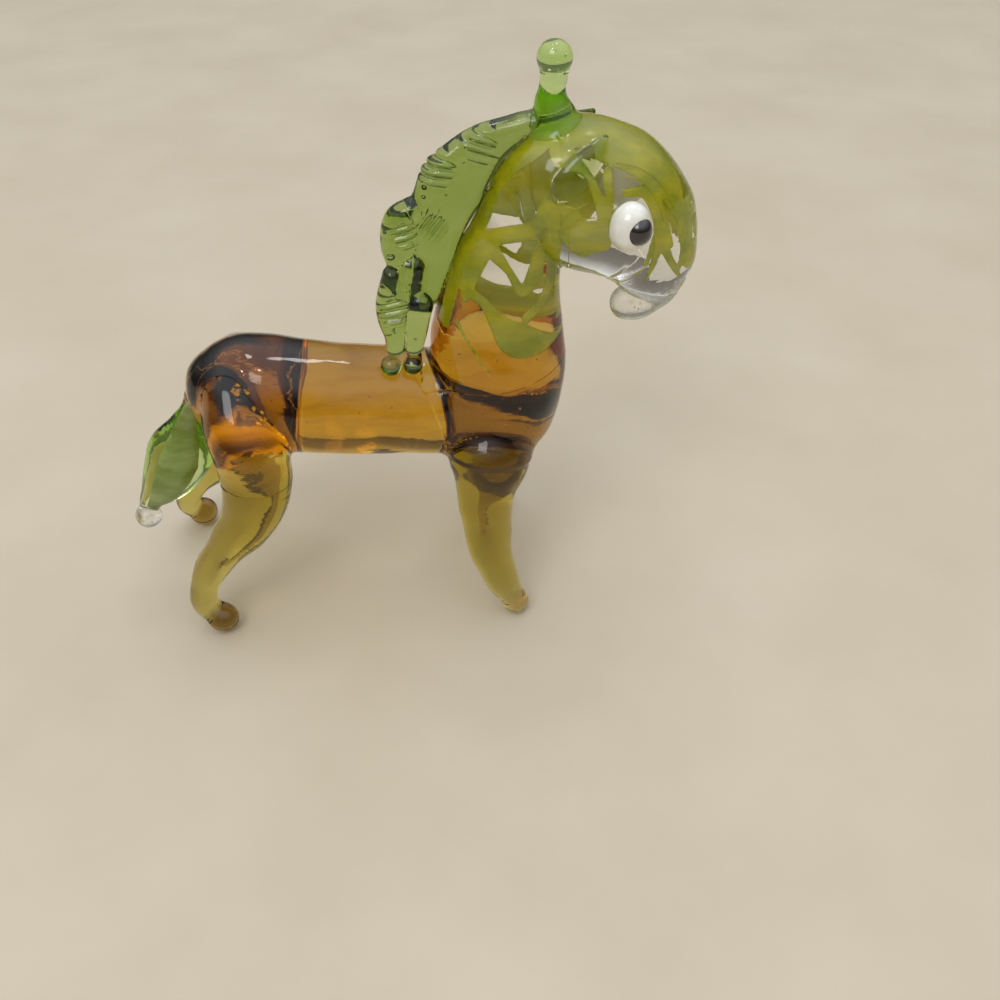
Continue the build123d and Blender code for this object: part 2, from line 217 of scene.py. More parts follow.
def leg(line, foot, foot_ahead, side):
    """A leg drawn down to its foot; foot_ahead is the place of the foremost of the pair."""
    stagger = foot_ahead[0] - foot[0]
    stations = [(foot_ahead[0] + x - stagger * share, side * (abs(foot[1]) + y), z, r)
                for x, y, z, r, share in line]
    return Rod(stations)


class Plate:
    """A flat of glass pressed in a mould: an outline of stations (x, z, radius) in its own plane, lie from the
    horse's middle plane, with a rounded edge and patches (x, z, half size, lines' tilt) of pressed grooves."""

    def __init__(self, stations, lie, thickness, patches=()):
        self.outline = Rod([(HEAD[0] + x, 0.0, HEAD[2] + z, r) for x, z, r in stations])
        self.lie, self.half, self.patches = lie, thickness / 2, patches
        self.low = self.outline.low.copy()
        self.high = self.outline.high.copy()
        self.low[1], self.high[1] = lie - self.half - GROOVE, lie + self.half + GROOVE

    def __call__(self, p):
        inside = self.outline(p * np.array([1.0, 0.0, 1.0]))
        edge = np.maximum(inside + self.half, 0)
        away = np.sqrt(edge ** 2 + (p[:, 1] - self.lie) ** 2) - self.half
        for x, z, size, tilt in self.patches:
            u, w = p[:, 0] - HEAD[0] - x, p[:, 2] - HEAD[2] - z
            across = w * math.cos(tilt) - u * math.sin(tilt)
            spread = np.clip(1.5 * (1 - (u * u + w * w) / size ** 2), 0, 1)
            away = away - GROOVE * spread * np.cos(2 * math.pi * across / GROOVE_PITCH)
        return away


def mane_plates():
    """A crest down the back of the neck and lobes hung on it, each standing a little to the near side."""
    return {
        "mane_crest": Plate([
            (-7.7, 9.2, 0.9), (-10.5, 7.9, 1.7), (-13.8, 6.1, 2.5), (-17.0, 3.0, 3.5), (-18.5, 0.0, 3.7),
            (-19.6, -2.8, 3.2), (-20.0, -5.5, 2.8), (-20.3, -8.3, 2.1), (-21.2, -11.1, 1.8)],
            0.0, MANE_THICKNESS, [(-14.3, 6.3, 2.2, -0.3), (-19.1, 3.9, 2.4, -0.15), (-19.7, -2.3, 2.2, 0.9)]),
        "mane_lobe_upper": Plate([
            (-22.0, -0.3, 1.4), (-23.4, -2.1, 2.1), (-23.6, -4.5, 2.2), (-24.0, -6.4, 1.4)],
            -0.5, MANE_THICKNESS, [(-22.7, -3.0, 2.2, 0.25)]),
        "mane_lobe_middle": Plate([
            (-22.4, -7.1, 1.8), (-23.1, -9.0, 2.1), (-22.6, -10.8, 1.5)], -1.1, MANE_THICKNESS),
        "mane_lobe_lower": Plate([
            (-24.8, -7.6, 1.1), (-24.7, -10.1, 2.0), (-24.8, -12.7, 2.0), (-24.7, -15.2, 1.6),
            (-25.0, -17.0, 1.2)], -1.9, MANE_THICKNESS - 0.4, [(-24.5, -11.8, 2.3, 0.2)]),
        "mane_root": Plate([
            (-21.7, -11.4, 1.6), (-22.4, -14.1, 1.5), (-22.8, -16.6, 1.2)], -2.4, MANE_THICKNESS - 0.8),
    }


def forelock():
    tip = middle("forelock_bead")
    return Rod(spine(tip, [
        (0.6, -8.3, 3.3), (0.3, -6.5, 2.6), (-0.1, -4.6, 1.85), (-0.1, -3.1, 1.45), (0.0, -1.9, 1.5)]))


def node_ball(node, share=1.0):
    """The bead of a node, from the width of its box."""
    return ball(middle(node), share * (high(node)[0] - low(node)[0]) / 2)


def ear(side):
    base = middle("ear_right" if side < 0 else "ear_left")
    return Rod(spine(base, [
        (-1.7, 1.4 * side, -2.1, 1.0), (-0.8, 1.2 * side, -0.9, 2.0), (0.7, 0.6 * side, 0.8, 1.8),
        (2.1, -0.3 * side, 2.3, 0.9), (2.8, -0.8 * side, 3.1, 0.4)]), flat=0.5)


def tail():
    return Rod(spine(TAIL, [
        (4.9, 9.2, 1.3), (3.9, 7.2, 1.2), (2.7, 4.1, 2.5), (1.2, 0.3, 4.1), (-1.1, -3.6, 3.2),
        (-3.6, -6.6, 1.7), (-4.5, -7.9, 1.2)]), flat=0.68)


def make_shapes():
    """Each gather's shape, by the name of the run of glass that it belongs to."""
    shapes = {"trunk": trunk(), "arch": arch(), "tail": tail(), "forelock": forelock(), **mane_plates()}
    shapes["forelock_bead"] = node_ball("forelock_bead")
    shapes["tail_bead"] = node_ball("tail_bead")
    hind_ahead, fore_ahead = middle("hind_foot_right"), middle("front_foot_right")
    for word, side in SIDES:
        shapes["hind_" + word] = leg(HIND_LINE, middle("hind_foot_" + word), hind_ahead, side)
        shapes["fore_" + word] = leg(FORE_LINE, middle("front_foot_" + word), fore_ahead, side)
        shapes["hind_foot_" + word] = node_ball("hind_foot_" + word)
        shapes["front_foot_" + word] = node_ball("front_foot_" + word)
        shapes["ear_" + word] = ear(side)
    return shapes


SHAPES = make_shapes()
FLOWS = {"trunk": BODY_FLOW, "arch": 1.2, "tail": 0.8, "forelock": 0.8, "ear_right": 0.5, "ear_left": 0.5,
         "forelock_bead": BEAD_FLOW, "tail_bead": BEAD_FLOW}


def flow_of(name):
    if name.startswith("mane"):
        return MANE_FLOW
    if "_foot_" in name:
        return BEAD_FLOW
    return FLOWS.get(name, 1.3)


def reach(name):
    shape = SHAPES[name]
    if isinstance(shape, (Rod, Plate)):
        return shape.low, shape.high
    return (np.minimum(low("torso"), low("chest")) - 1.0), (np.maximum(high("torso"), high("chest")) + 1.0)


class Fused:
    """The whole horse as one run of glass, and each gather's own share of it."""

    def near(self, lo, hi):
        keep = []
        for name in SHAPES:
            a, b = reach(name)
            if np.all(a < hi + 1) and np.all(b > lo - 1):
                keep.append(name)
        return keep

    def distances(self, p, names):
        return {name: SHAPES[name](p) for name in names}

    def surface(self, p, d):
        names = list(d)
        total = d[names[0]]
        for name in names[1:]:
            total = flowed(total, d[name], flow_of(name))
        return total + ripple(p)


FUSED = Fused()


def collar(p):
    """Below zero in the amber that rises as a dome inside the foot of the neck."""
    x, z, _ = NECK_LINE[0]
    centre = HEAD + np.array([x, 0.0, z])
    v = (p - centre) / np.array(DOME_HALVES)
    dome = (np.sqrt((v * v).sum(1)) - 1) * DOME_RADIUS
    return flowed(p[:, 2] - COLLAR - COLLAR_SLOPE * (p[:, 0] - centre[0]), dome, COLLAR_FLOW)


def share(p, d, mine):
    """Below zero in the glass nearer to this gather than to any other."""
    others = [name for name in d if name != mine]
    out = np.full(len(p), -FAR)
    for name in others:
        if {name, mine} == {"trunk", "arch"}:
            cut = np.minimum(collar(p), d["trunk"] - d["arch"] + COLLAR_REACH)
            edge = cut if mine == "trunk" else -cut
        else:
            edge = d[mine] - d[name]
        out = np.maximum(out, edge)
    return out


def plane(point, normal):
    n = np.array(normal, float)
    n /= np.linalg.norm(n)
    return lambda p: (p - np.array(point)) @ n


def swirl_plane(point, normal):
    """A seam that isn't quite flat."""
    flat = plane(point, normal)
    return lambda p: flat(p) + 0.5 * np.sin(0.45 * p[:, 1] + 0.3 * p[:, 2])


BARREL_SEAM = swirl_plane((low("chest")[0] + 0.6, 0.0, 28.0), (1.0, 0.0, 0.18))
POLL_SEAM = plane(HEAD + np.array([-5.6, 0, 1.2]), (1.0, 0.0, 0.1))
JAW_SEAM = plane(HEAD + np.array([4.6, 0, -5.3]), (0.62, 0.0, -0.78))
LIP_SEAM = plane(HEAD + np.array([6.2, 0, -10.9]), (-0.25, 0.0, -0.97))


def over(seam):
    """The far side of a seam."""
    return lambda p: -seam(p)


# ---------------------------------------------------------------- from distances to a mesh

def gradient(f, p, step=0.02):
    g = np.empty_like(p)
    for axis in range(3):
        e = np.zeros(3)
        e[axis] = step
        g[:, axis] = (f(p + e) - f(p - e)) / (2 * step)
    return g


def settle(f, p, rounds=2, limit=0.3):
    """Points moved on to the zero of f."""
    for _ in range(rounds):
        g = gradient(f, p)
        size = (g * g).sum(1) + 1e-6
        move = -(f(p) / size)[:, None] * g
        length = np.sqrt((move * move).sum(1))[:, None] + 1e-9
        p = p + move * np.minimum(1, limit / length)
    return p


def sampled(f, lo, hi, voxel):
    """f on a grid, closely worked out only near its zero."""
    big = voxel * COARSE_STEPS
    count = np.ceil((hi - lo) / big).astype(int) + 1
    axes = [lo[i] + big * np.arange(count[i]) for i in range(3)]
    points = np.stack(np.meshgrid(*axes, indexing="ij"), -1).reshape(-1, 3)
    coarse = f(points).reshape(count)
    for axis in range(3):
        n = coarse.shape[axis]
        at = np.arange((n - 1) * COARSE_STEPS + 1) / COARSE_STEPS
        i = np.minimum(at.astype(int), n - 2)
        t = (at - i).reshape([-1 if k == axis else 1 for k in range(3)])
        coarse = np.take(coarse, i, axis) * (1 - t) + np.take(coarse, i + 1, axis) * t
    near = np.abs(coarse) < big * 1.3
    index = np.argwhere(near)
    coarse[near] = f(lo + voxel * index)
    return coarse


def polygons(f, lo, hi, voxel):
    """The closed surface where f is zero, as points in mm and faces."""
    grid = openvdb.FloatGrid(background=5.0)
    grid.copyFromArray(sampled(f, lo, hi, voxel).astype(np.float32))
    points, triangles, quads = grid.convertToPolygons(isovalue=0.0, adaptivity=0.0)
    points = lo + voxel * np.asarray(points, float)
    faces = [list(map(int, q)) for q in quads] + [list(map(int, t)) for t in triangles]
    return points, faces


def mesh_object(name, points, faces, seam=None):
    mesh = bpy.data.meshes.new(name)
    mesh.from_pydata([tuple(v) for v in points * MM], [], faces)
    mesh.polygons.foreach_set("use_smooth", np.ones(len(faces), bool))
    if seam is not None:
        attribute = mesh.attributes.new("seam", "FLOAT", "FACE")
        attribute.data.foreach_set("value", seam.astype(np.float32))
    mesh.update()
    made = bpy.data.objects.new(name, mesh)
    bpy.context.scene.collection.objects.link(made)
    turn_outward(made)
    return made


def turn_outward(made):
    """Turns the faces outward if the mesh encloses less than nothing."""
    mesh = made.data
    mesh.calc_loop_triangles()
    co = np.zeros(len(mesh.vertices) * 3)
    mesh.vertices.foreach_get("co", co)
    co = co.reshape(-1, 3)
    tri = np.zeros(len(mesh.loop_triangles) * 3, int)
    mesh.loop_triangles.foreach_get("vertices", tri)
    a, b, c = (co[tri.reshape(-1, 3)[:, i]] for i in range(3))
    if np.einsum("ij,ij->i", a, np.cross(b, c)).sum() < 0:
        mesh.flip_normals()


def crease(made):
    """Marks the rim between a seam face and an outer one, so that the gloss stops there cleanly."""
    mesh = made.data
    seam = np.zeros(len(mesh.polygons), np.float32)
    mesh.attributes["seam"].data.foreach_get("value", seam)
    kinds = {}
    for polygon in mesh.polygons:
        for key in polygon.edge_keys:
            kinds.setdefault(key, set()).add(bool(seam[polygon.index] > 0.5))
    sharp = mesh.attributes.new("sharp_edge", "BOOLEAN", "EDGE")
    sharp.data.foreach_set("value", [len(kinds[e.key]) == 2 for e in mesh.edges])


def gather(name, run, lo, hi, cuts=(), voxel=BODY_MESH):
    """One piece of glass: its share of the fused horse, cut from its neighbours at the seams."""
    lo, hi = np.array(lo, float) - 1.5, np.array(hi, float) + 1.5
    names = FUSED.near(lo, hi)

    def skin(p):
        return FUSED.surface(p, FUSED.distances(p, names))

    def inner(p, d=None):
        d = d or FUSED.distances(p, names)
        edge = share(p, d, run)
        for cut in cuts:
            edge = np.maximum(edge, cut(p))
        return edge + SEAM_GAP

    def whole(p):
        d = FUSED.distances(p, names)
        return np.maximum(FUSED.surface(p, d), inner(p, d))

    points, faces = polygons(whole, lo, hi, voxel)
    outer, cutting = skin(points), inner(points)
    on_skin = outer >= cutting
    rim = (np.abs(outer) < voxel) & (np.abs(cutting) < voxel)
    plain_skin, plain_cut = on_skin & ~rim, ~on_skin & ~rim
    points[plain_skin] = settle(skin, points[plain_skin])
    points[plain_cut] = settle(inner, points[plain_cut])
    both = points[rim]
    for _ in range(3):
        both = settle(skin, both, 1)
        both = settle(inner, both, 1)
    points[rim] = both
    arr = np.array([f if len(f) == 4 else f + [f[-1]] for f in faces])
    centres = points[arr].mean(1)
    seam = (inner(centres) > skin(centres)).astype(float)
    made = mesh_object(name, points, faces, seam)
    crease(made)
    return made


def bead(name, f, lo, hi, voxel=BEAD_MESH):
    """A piece of glass with no share in another."""
    lo, hi = np.array(lo, float) - 1.0, np.array(hi, float) + 1.0
    points, faces = polygons(f, lo, hi, voxel)
    return mesh_object(name, settle(f, points), faces, np.zeros(len(faces)))


# ---------------------------------------------------------------- materials

def tree_of(name):
    material = bpy.data.materials.new(name)
    material.use_nodes = True
    nodes, links = material.node_tree.nodes, material.node_tree.links
    nodes.clear()
    return material, nodes, links


def add(nodes, kind, **values):
    node = nodes.new(kind)
    for key, value in values.items():
        if key.startswith("at_"):
            node.inputs[key[3:].replace("_", " ")].default_value = value
        else:
            setattr(node, key, value)
    return node


def streaks(nodes, links, scale, stretch):
    """Noise on the object's own coordinates, drawn out along one way."""
    where = add(nodes, "ShaderNodeTexCoord")
    mapping = add(nodes, "ShaderNodeMapping")
    mapping.inputs["Scale"].default_value = stretch
    noise = add(nodes, "ShaderNodeTexNoise", at_Scale=scale, at_Detail=4.0, at_Roughness=0.55)
    links.new(where.outputs["Object"], mapping.inputs["Vector"])
    links.new(mapping.outputs["Vector"], noise.inputs["Vector"])
    return noise


def ramp(nodes, links, source, stops):
    node = add(nodes, "ShaderNodeValToRGB")
    elements = node.color_ramp.elements
    while len(elements) < len(stops):
        elements.new(0.5)
    for element, (place, colour) in zip(elements, stops):
        element.position = place
        element.color = (*colour, 1)
    links.new(source, node.inputs["Fac"])
    return node


def glass(name, absorb, density, tint=((0.35, (1, 1, 1)), (0.7, (1, 1, 1))), bump=0.15, scale=900.0,
          stretch=(0.25, 1, 1), rough=(0.0, 0.04)):
    """Clear or coloured lampworked glass: the colour is in its depth, the streaks and ripples in its skin."""
    material, nodes, links = tree_of(name)
    noise = streaks(nodes, links, scale, stretch)
    relief = add(nodes, "ShaderNodeBump", at_Strength=bump, at_Distance=0.0001)
    links.new(noise.outputs["Fac"], relief.inputs["Height"])
    shader = add(nodes, "ShaderNodeBsdfPrincipled", at_IOR=1.5)
    shader.inputs["Transmission Weight"].default_value = 1.0
    colour = ramp(nodes, links, noise.outputs["Fac"], tint)
    links.new(colour.outputs["Color"], shader.inputs["Base Color"])
    wear = add(nodes, "ShaderNodeMapRange")
    wear.inputs["To Min"].default_value, wear.inputs["To Max"].default_value = rough
    links.new(noise.outputs["Fac"], wear.inputs["Value"])
    links.new(wear.outputs["Result"], shader.inputs["Roughness"])
    links.new(relief.outputs["Normal"], shader.inputs["Normal"])
    through = add(nodes, "ShaderNodeBsdfTransparent")
    seam = add(nodes, "ShaderNodeAttribute", attribute_name="seam")
    mix = add(nodes, "ShaderNodeMixShader")
    links.new(seam.outputs["Fac"], mix.inputs[0])
    links.new(shader.outputs["BSDF"], mix.inputs[1])
    links.new(through.outputs["BSDF"], mix.inputs[2])
    depth = add(nodes, "ShaderNodeVolumeAbsorption", at_Density=density)
    depth.inputs["Color"].default_value = (*absorb, 1)
    out = add(nodes, "ShaderNodeOutputMaterial")
    links.new(mix.outputs["Shader"], out.inputs["Surface"])
    links.new(depth.outputs["Volume"], out.inputs["Volume"])
    return material


def rod_colour(name, dark, light, scale=700.0, coat=1.0, rough=0.25, glow=0.3, thin=None):
    """Dense coloured glass that light doesn't pass: strands, swirl, eye beads."""
    material, nodes, links = tree_of(name)
    noise = streaks(nodes, links, scale, (0.3, 1, 1))
    colour = ramp(nodes, links, noise.outputs["Fac"], ((0.35, dark), (0.65, light)))
    shader = add(nodes, "ShaderNodeBsdfPrincipled", at_Roughness=rough)
    shader.inputs["Coat Weight"].default_value = coat
    shader.inputs["Coat Roughness"].default_value = 0.03
    links.new(colour.outputs["Color"], shader.inputs["Base Color"])
    relief = add(nodes, "ShaderNodeBump", at_Strength=0.12, at_Distance=0.0001)
    links.new(noise.outputs["Fac"], relief.inputs["Height"])
    links.new(relief.outputs["Normal"], shader.inputs["Normal"])
    last = shader
    if glow:
        lit = add(nodes, "ShaderNodeBsdfTranslucent")
        links.new(colour.outputs["Color"], lit.inputs["Color"])
        last = add(nodes, "ShaderNodeMixShader")
        last.inputs[0].default_value = glow
        links.new(shader.outputs["BSDF"], last.inputs[1])
        links.new(lit.outputs["BSDF"], last.inputs[2])
    if thin:
        wisps = streaks(nodes, links, scale * 0.6, (0.3, 1, 1))
        cover = ramp(nodes, links, wisps.outputs["Fac"], [(place, (value,) * 3) for place, value in thin])
        clear = add(nodes, "ShaderNodeBsdfTransparent")
        body, last = last, add(nodes, "ShaderNodeMixShader")
        links.new(cover.outputs["Color"], last.inputs[0])
        links.new(clear.outputs["BSDF"], last.inputs[1])
        links.new(body.outputs[0], last.inputs[2])
    out = add(nodes, "ShaderNodeOutputMaterial")
    links.new(last.outputs[0], out.inputs["Surface"])
    return material


AMBER = glass("amber_glass", (0.90, 0.75, 0.02), 300, ((0.3, (0.80, 0.72, 0.6)), (0.55, (1, 1, 1))),
              bump=0.35, scale=420.0, stretch=(0.35, 1, 2.2))
OLIVE = glass("olive_glass", (0.80, 0.73, 0.05), 520, bump=0.3)
DARK_OLIVE = glass("dark_olive_glass", (0.75, 0.62, 0.05), 900, bump=0.3)
GOLD = glass("gold_glass", (0.92, 0.75, 0.05), 330, bump=0.3)
CLEAR = glass("clear_glass", (0.86, 0.84, 0.74), 30, bump=0.3, scale=350.0, stretch=(1, 1, 0.5))
GREEN = glass("mane_green_glass", (0.60, 0.73, 0.12), 780, bump=0.35, scale=500.0)
PALE_GREEN = glass("pale_green_glass", (0.60, 0.90, 0.05), 330, bump=0.25)
TAIL_GREEN = glass("tail_green_glass", (0.66, 0.88, 0.2), 200, bump=0.25)
FROSTED = glass("crackled_glass", (0.85, 0.86, 0.75), 60, bump=0.9, scale=2600.0, stretch=(1, 1, 1),
                rough=(0.02, 0.3))
STRAND = rod_colour("yellow_green_strand", (0.62, 0.68, 0.008), (0.95, 0.90, 0.02), scale=420.0, glow=0.55,
                    thin=((0.38, 0.72), (0.62, 1.0)))
RIBBON = rod_colour("tail_swirl", (0.36, 0.42, 0.02), (0.74, 0.78, 0.40), scale=500.0, glow=0.4)
WHITE = rod_colour("eye_white_glass", (0.72, 0.70, 0.62), (0.86, 0.85, 0.80), glow=0.0)
BLACK = rod_colour("pupil_glass", (0.004, 0.003, 0.003), (0.012, 0.010, 0.009), rough=0.06, glow=0.0)


def air():
    """A bubble seen from inside the glass: light turns at it the other way round."""
    material, nodes, links = tree_of("air_bubble")
    noise = streaks(nodes, links, 900.0, (1, 1, 1))
    bubble = add(nodes, "ShaderNodeBsdfGlass", at_IOR=0.667, at_Roughness=0.0)
    colour = ramp(nodes, links, noise.outputs["Fac"], ((0.3, (0.93, 0.94, 0.95)), (0.7, (1, 1, 1))))
    links.new(colour.outputs["Color"], bubble.inputs["Color"])
    out = add(nodes, "ShaderNodeOutputMaterial")
    links.new(bubble.outputs["BSDF"], out.inputs["Surface"])
    return material


AIR = air()


def finish_piece(made, material, slot, *nodes):
    made.data.materials.clear()
    made.data.materials.append(material)
    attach(made, "root")
    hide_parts(*nodes)
    return made


# ---------------------------------------------------------------- threads and bubbles, grown by node trees

def new_tree(name, sockets):
    """A geometry tree with named sizes, and its input and output nodes."""
    tree = bpy.data.node_groups.new(name, "GeometryNodeTree")
    tree.interface.new_socket("Geometry", in_out="INPUT", socket_type="NodeSocketGeometry")
    for word, kind in sockets:
        tree.interface.new_socket(word, in_out="INPUT", socket_type="NodeSocket" + kind)
    tree.interface.new_socket("Geometry", in_out="OUTPUT", socket_type="NodeSocketGeometry")
    return tree, add(tree.nodes, "NodeGroupInput"), add(tree.nodes, "NodeGroupOutput")


def finish_tree(tree, geometry, source, sink):
    """Ends a tree in real geometry with its own glass."""
    nodes, links = tree.nodes, tree.links
    smooth = add(nodes, "GeometryNodeSetShadeSmooth")
    real = add(nodes, "GeometryNodeRealizeInstances")
    painted = add(nodes, "GeometryNodeSetMaterial")
    links.new(geometry, real.inputs["Geometry"])
    links.new(real.outputs["Geometry"], smooth.inputs["Geometry"])
    links.new(smooth.outputs["Geometry"], painted.inputs["Geometry"])
    links.new(source.outputs["Glass"], painted.inputs["Material"])
    links.new(painted.outputs["Geometry"], sink.inputs["Geometry"])


def thread_tree():
    """Pulls a round thread of glass along each line, tapered by the line's own widths."""
    tree, source, sink = new_tree("thread_of_glass", [("Thickness", "Float"), ("Sides", "Int"),
                                                      ("Glass", "Material")])
    nodes, links = tree.nodes, tree.links
    line = add(nodes, "GeometryNodeMeshToCurve")
    section = add(nodes, "GeometryNodeCurvePrimitiveCircle")
    pulled = add(nodes, "GeometryNodeCurveToMesh")
    width = add(nodes, "GeometryNodeInputNamedAttribute", data_type="FLOAT")
    width.inputs["Name"].default_value = "width"
    pulled.inputs["Fill Caps"].default_value = True
    links.new(source.outputs["Geometry"], line.inputs["Mesh"])
    links.new(source.outputs["Sides"], section.inputs["Resolution"])
    links.new(source.outputs["Thickness"], section.inputs["Radius"])
    links.new(line.outputs["Curve"], pulled.inputs["Curve"])
    links.new(section.outputs["Curve"], pulled.inputs["Profile Curve"])
    links.new(width.outputs["Attribute"], pulled.inputs["Scale"])
    finish_tree(tree, pulled.outputs["Mesh"], source, sink)
    return tree


def bubble_tree():
    """Puts a small round bubble at each point, as large as the point says."""
    tree, source, sink = new_tree("bubbles_of_air", [("Size", "Float"), ("Glass", "Material")])
    nodes, links = tree.nodes, tree.links
    round_one = add(nodes, "GeometryNodeMeshIcoSphere")
    round_one.inputs["Subdivisions"].default_value = 2
    size = add(nodes, "GeometryNodeInputNamedAttribute", data_type="FLOAT")
    size.inputs["Name"].default_value = "width"
    placed = add(nodes, "GeometryNodeInstanceOnPoints")
    links.new(source.outputs["Size"], round_one.inputs["Radius"])
    links.new(source.outputs["Geometry"], placed.inputs["Points"])
    links.new(round_one.outputs["Mesh"], placed.inputs["Instance"])
    links.new(size.outputs["Attribute"], placed.inputs["Scale"])
    finish_tree(tree, placed.outputs["Instances"], source, sink)
    return tree


def grown(name, tree, points, widths, edges, **sizes):
    """Runs a tree on points in mm and keeps the plain mesh that it makes."""
    mesh = bpy.data.meshes.new(name)
    mesh.from_pydata([tuple(p) for p in np.array(points) * MM], edges, [])
    mesh.attributes.new("width", "FLOAT", "POINT").data.foreach_set("value", np.array(widths, np.float32))
    made = bpy.data.objects.new(name, mesh)
    bpy.context.scene.collection.objects.link(made)
    modifier = made.modifiers.new("growing", "NODES")
    modifier.node_group = tree
    for socket in tree.interface.items_tree:
        if socket.in_out == "INPUT" and socket.name in sizes:
            modifier[socket.identifier] = sizes[socket.name]
    seen = made.evaluated_get(bpy.context.evaluated_depsgraph_get())
    plain = bpy.data.meshes.new_from_object(seen)
    made.modifiers.remove(modifier)
    made.data = plain
    plain.name = name
    return made


# ---------------------------------------------------------------- the room and the camera

SKY_STRENGTH = 1.35
CEILING_LAMPS = [  # place, size, radiance: short bright tubes a little to the front, broad panels behind
    ((-0.101, -0.22, 0.75), (0.036, 0.010), 70.0),
    ((-0.031, -0.265, 0.74), (0.028, 0.008), 60.0),
    ((-0.142, -0.21, 0.75), (0.022, 0.010), 60.0),
    ((-0.118, 0.20, 0.78), (0.062, 0.100), 9.0),
    ((0.16, 0.30, 0.80), (0.10, 0.12), 8.0),
    ((-0.26, -0.46, 0.62), (0.36, 0.36), 4.2),
]
TABLE_HALF = 3.0                                 # m
CAMERA_FROM_MIDDLE = (0.00437, -0.10662, 0.064637)   # m, from the middle of the horse's box
CAMERA_TILT = 50
CAMERA_TURN = -5


def sky():
    """A dim room under a broad pale ceiling, a little cooler at the top."""
    world = bpy.data.worlds.new("studio")
    bpy.context.scene.world = world
    world.use_nodes = True
    nodes, links = world.node_tree.nodes, world.node_tree.links
    where = add(nodes, "ShaderNodeTexCoord")
    height = add(nodes, "ShaderNodeSeparateXYZ")
    links.new(where.outputs["Generated"], height.inputs[0])
    shade = ramp(nodes, links, height.outputs["Z"], (
        (0.0, (0.10, 0.09, 0.08)), (0.22, (0.14, 0.13, 0.12)), (0.5, (0.45, 0.45, 0.45)),
        (0.78, (0.90, 0.93, 0.97))))
    links.new(shade.outputs["Color"], nodes["Background"].inputs["Color"])
    nodes["Background"].inputs["Strength"].default_value = SKY_STRENGTH


def soft_lamp(name, place, aim, size, power):
    data = bpy.data.lights.new(name, "AREA")
    data.shape = "RECTANGLE"
    data.size, data.size_y = size
    data.energy = power
    lamp = bpy.data.objects.new(name, data)
    lamp.location = place
    lamp.rotation_euler = (Vector(aim) - Vector(place)).to_track_quat("-Z", "Y").to_euler()
    bpy.context.scene.collection.objects.link(lamp)
    return lamp


def studio():
    sky()
    bpy.context.scene.view_settings.view_transform = "Standard"
    bpy.context.scene.cycles.transparent_max_bounces = 48
    bpy.context.scene.cycles.transmission_bounces = 24
    bpy.context.scene.cycles.max_bounces = 32
    middle_of = (Vector(CAD_BOX[0]) + Vector(CAD_BOX[1])) / 2
    for number, (place, size, radiance) in enumerate(CEILING_LAMPS):
        soft_lamp(f"ceiling_lamp_{number}", place, middle_of, size, radiance * math.pi * size[0] * size[1])
    mesh = bpy.data.meshes.new("table")
    corners = [(-1, -1), (1, -1), (1, 1), (-1, 1)]
    mesh.from_pydata([(x * TABLE_HALF, y * TABLE_HALF, 0) for x, y in corners], [], [(0, 1, 2, 3)])
    floor = bpy.data.objects.new("table", mesh)
    bpy.context.scene.collection.objects.link(floor)
    material, nodes, links = tree_of("table_finish")
    noise = streaks(nodes, links, 30.0, (1, 1, 1))
    colour = ramp(nodes, links, noise.outputs["Fac"], ((0.3, (0.50, 0.43, 0.315)), (0.7, (0.55, 0.48, 0.365))))
    shader = add(nodes, "ShaderNodeBsdfPrincipled", at_Roughness=0.55)
    links.new(colour.outputs["Color"], shader.inputs["Base Color"])
    out = add(nodes, "ShaderNodeOutputMaterial")
    links.new(shader.outputs["BSDF"], out.inputs["Surface"])
    mesh.materials.append(material)
    data = bpy.data.cameras.new("camera")
    data.lens, data.sensor_width = 36.0, 36.0
    data.clip_start, data.clip_end = 0.005, 20.0
    camera = bpy.data.objects.new("camera", data)
    camera.location = middle_of + Vector(CAMERA_FROM_MIDDLE)
    camera.rotation_euler = (math.radians(CAMERA_TILT), 0, math.radians(CAMERA_TURN))
    bpy.context.scene.collection.objects.link(camera)
    bpy.context.scene.camera = camera


studio()


# ---------------------------------------------------------------- the gathers made and coloured

def coloured(name, made, material, slot, *nodes):
    """Names the piece after its node, gives it its glass and lets it stand for the node."""
    made.name = made.data.name = name + "_glass"
    return finish_piece(made, material, slot, *(nodes or (name,)))


def node_gather(node, run, cuts, voxel, material, slot, *nodes):
    made = gather(node + "_glass", run, low(node), high(node), cuts, voxel)
    return coloured(node, made, material, slot, *nodes)


def shape_gather(node, voxel, material, slot):
    """A gather that ends only where it meets its neighbours."""
    shape = SHAPES[node]
    return coloured(node, gather(node + "_glass", node, shape.low, shape.high, (), voxel), material, slot)


def eye_bead(node, side, stands, tall, swell=1.0):
    """A bead laid hot on the head, a little taller than wide, that stands proud of its node."""
    radius = swell * (high(node)[0] - low(node)[0]) / 2
    x, _, z = middle(node)
    outermost = low(node)[1] if side < 0 else high(node)[1]
    y = outermost + side * (stands - radius)
    shape = Rod([(x, y, z - tall, radius), (x, y, z + tall, radius)])
    return bead(node, shape, shape.low, shape.high)


EYE_STANDS = 0.5         # how far the eye beads stand out of the head, mm

node_gather("torso", "trunk", [BARREL_SEAM], BODY_MESH, AMBER, "amber")
node_gather("chest", "trunk", [over(BARREL_SEAM)], BODY_MESH, AMBER, "amber")
node_gather("neck_casing", "arch", [POLL_SEAM], BODY_MESH, CLEAR, "clear", "neck_core", "neck_casing")
node_gather("head_casing", "arch", [over(POLL_SEAM), JAW_SEAM], BODY_MESH, CLEAR, "clear",
            "head_core", "head_casing")
node_gather("muzzle", "arch", [over(JAW_SEAM), LIP_SEAM], FINE_MESH, CLEAR, "clear")
node_gather("muzzle_curl", "arch", [over(LIP_SEAM)], FINE_MESH, FROSTED, "frosted")

